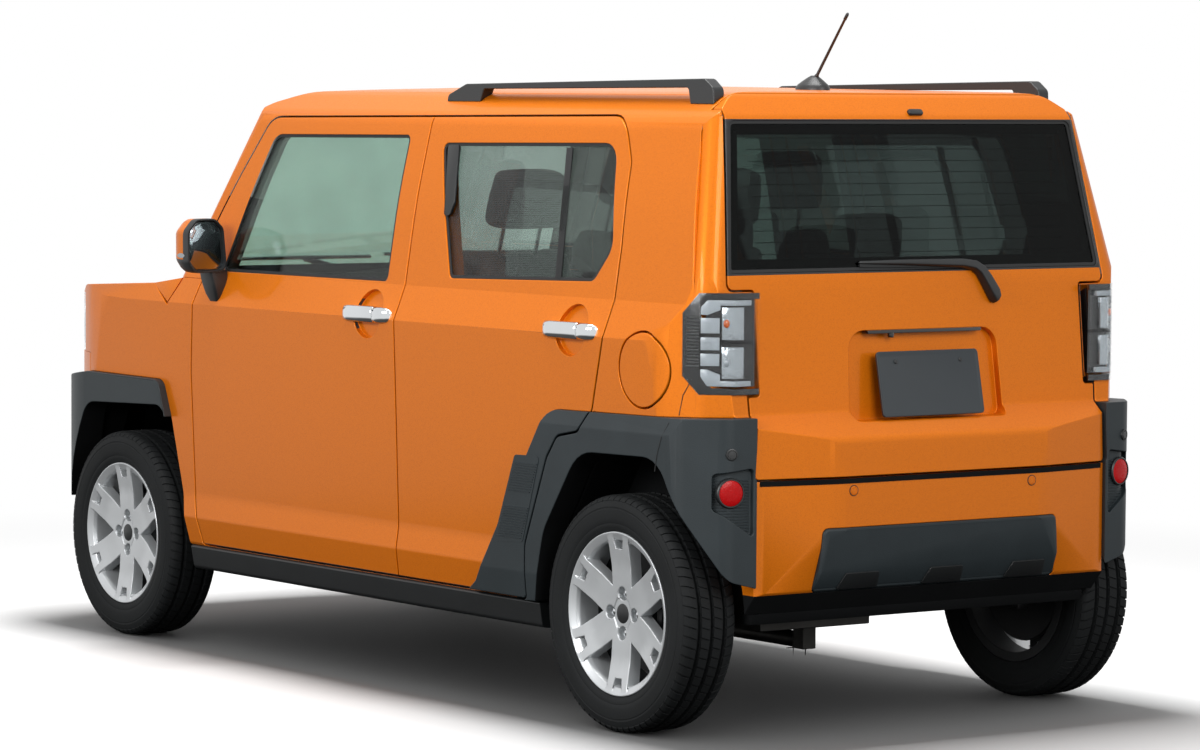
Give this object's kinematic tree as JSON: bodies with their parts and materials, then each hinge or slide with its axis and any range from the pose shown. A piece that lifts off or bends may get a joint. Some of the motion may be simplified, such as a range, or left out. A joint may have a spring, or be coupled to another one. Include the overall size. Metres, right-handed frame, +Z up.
{
  "type": "kei car",
  "caption": "Small boxy tall-roof car with side doors, a lifting tailgate and bonnet, dark wheel-arch cladding, roof rails, glazed cabin and road wheels that steer.",
  "frame": {"origin": "on the ground under the middle of the car", "axes": "+X forward, +Y to the car's left, +Z up"},
  "size_m": [3.3949, 1.666, 1.8023],
  "materials": {
    "paint": "orange metallic clear-coated paint",
    "grained_plastic": "dark grey grained moulding",
    "black_plastic": "satin black moulding",
    "gloss_black": "gloss black",
    "clear_glass": "green-tinted safety glass",
    "privacy_glass": "dark privacy glass",
    "lamp_lens": "clear moulded lens over reflectors",
    "chrome": "bright plated",
    "plate": "blank dark plate",
    "alloy": "silver painted cast alloy",
    "tyre": "black rubber",
    "seat_fabric": "dark grey woven cloth",
    "dash_plastic": "dark grained moulding",
    "wheel_leather": "black leather-grain grip",
    "underbody_steel": "dark underseal",
    "chassis_black": "black chassis paint",
    "cast_metal": "as cast",
    "exhaust_steel": "dull steel"
  },
  "bodies": {
    "body": {"underbody": "underbody_steel", "body_side_left": "paint", "body_side_right": "paint", "roof_panel": "paint", "front_fenders": "paint", "front_bumper": "paint", "grille": "gloss_black", "headlamps": "lamp_lens", "windscreen": "clear_glass", "cowl_and_wipers": "black_plastic", "dashboard": "dash_plastic", "front_seats": "seat_fabric", "rear_seat": "seat_fabric", "front_arch_cladding": "grained_plastic", "rear_arch_cladding": "grained_plastic", "side_skirts": "grained_plastic", "rear_bumper": "paint", "rear_garnish": "grained_plastic", "rear_lamps": "lamp_lens", "roof_rails": "black_plastic", "antenna": "black_plastic", "engine_block": "cast_metal", "front_suspension": "chassis_black", "rear_axle_beam": "chassis_black", "exhaust": "exhaust_steel", "fuel_tank": "black_plastic"},
    "bonnet": {"bonnet": "paint"},
    "tailgate": {"tailgate": "paint", "tailgate_glass": "privacy_glass", "rear_wiper": "black_plastic", "number_plate": "plate"},
    "fuel_lid": {"fuel_lid": "paint"},
    "steering_wheel": {"steering_wheel": "wheel_leather"},
    "front_door_left": {"front_door_left": "paint", "front_glass_left": "clear_glass", "mirror_left": "paint", "handle_front_left": "chrome"},
    "rear_door_left": {"rear_door_left": "paint", "rear_glass_left": "privacy_glass", "door_cladding_left": "grained_plastic", "handle_rear_left": "chrome"},
    "knuckle_left": {"knuckle_left": "cast_metal"},
    "wheel_front_left": {"wheel_front_left": "alloy", "tyre_front_left": "tyre"},
    "wheel_rear_left": {"wheel_rear_left": "alloy", "tyre_rear_left": "tyre"},
    "front_door_right": {"front_door_right": "paint", "front_glass_right": "clear_glass", "mirror_right": "paint", "handle_front_right": "chrome"},
    "rear_door_right": {"rear_door_right": "paint", "rear_glass_right": "privacy_glass", "door_cladding_right": "grained_plastic", "handle_rear_right": "chrome"},
    "knuckle_right": {"knuckle_right": "cast_metal"},
    "wheel_front_right": {"wheel_front_right": "alloy", "tyre_front_right": "tyre"},
    "wheel_rear_right": {"wheel_rear_right": "alloy", "tyre_rear_right": "tyre"}
  },
  "joints": [
    {"name": "front_door_left_hinge", "type": "hinge", "parent": "body", "child": "front_door_left", "pos_m": [0.7825, 0.727, 0.8], "axis": [0, 0, -1], "range_deg": [0, 65]},
    {"name": "rear_door_left_hinge", "type": "hinge", "parent": "body", "child": "rear_door_left", "pos_m": [-0.2825, 0.727, 0.8], "axis": [0, 0, -1], "range_deg": [0, 70]},
    {"name": "front_door_right_hinge", "type": "hinge", "parent": "body", "child": "front_door_right", "pos_m": [0.7825, -0.727, 0.8], "axis": [0, 0, 1], "range_deg": [0, 65]},
    {"name": "rear_door_right_hinge", "type": "hinge", "parent": "body", "child": "rear_door_right", "pos_m": [-0.2825, -0.727, 0.8], "axis": [0, 0, 1], "range_deg": [0, 70]},
    {"name": "bonnet_hinge", "type": "hinge", "parent": "body", "child": "bonnet", "pos_m": [0.978, 0, 1.039], "axis": [0, -1, 0], "range_deg": [0, 50]},
    {"name": "tailgate_hinge", "type": "hinge", "parent": "body", "child": "tailgate", "pos_m": [-1.459, 0, 1.6], "axis": [0, 1, 0], "range_deg": [0, 80]},
    {"name": "fuel_lid_hinge", "type": "hinge", "parent": "body", "child": "fuel_lid", "pos_m": [-1.2985, 0.727, 0.912], "axis": [0, 0, -1], "range_deg": [0, 95]},
    {"name": "steer_left", "type": "hinge", "parent": "body", "child": "knuckle_left", "pos_m": [1.1675, 0.55102, 0.298], "axis": [0, -0.1736, 0.9848], "range_deg": [-34, 34]},
    {"name": "steer_right", "type": "hinge", "parent": "body", "child": "knuckle_right", "pos_m": [1.1675, -0.55102, 0.298], "axis": [0, 0.1736, 0.9848], "range_deg": [-34, 34]},
    {"name": "steering_turn", "type": "hinge", "parent": "body", "child": "steering_wheel", "pos_m": [0.44135, -0.3335, 0.9617], "axis": [-0.9135, 0, 0.4067], "range_deg": [-510, 510]},
    {"name": "wheel_front_left_spin", "type": "hinge", "parent": "knuckle_left", "child": "wheel_front_left", "pos_m": [1.1675, 0.6475, 0.298], "axis": [0, 1, 0], "continuous": true},
    {"name": "wheel_front_right_spin", "type": "hinge", "parent": "knuckle_right", "child": "wheel_front_right", "pos_m": [1.1675, -0.6475, 0.298], "axis": [0, 1, 0], "continuous": true},
    {"name": "wheel_rear_left_spin", "type": "hinge", "parent": "body", "child": "wheel_rear_left", "pos_m": [-1.2925, 0.6475, 0.298], "axis": [0, 1, 0], "continuous": true},
    {"name": "wheel_rear_right_spin", "type": "hinge", "parent": "body", "child": "wheel_rear_right", "pos_m": [-1.2925, -0.6475, 0.298], "axis": [0, 1, 0], "continuous": true}
  ],
  "couplings": [
    {"joint": "steer_right", "follows": "steer_left", "ratio": 1},
    {"joint": "steering_turn", "follows": "steer_left", "ratio": 15}
  ]
}
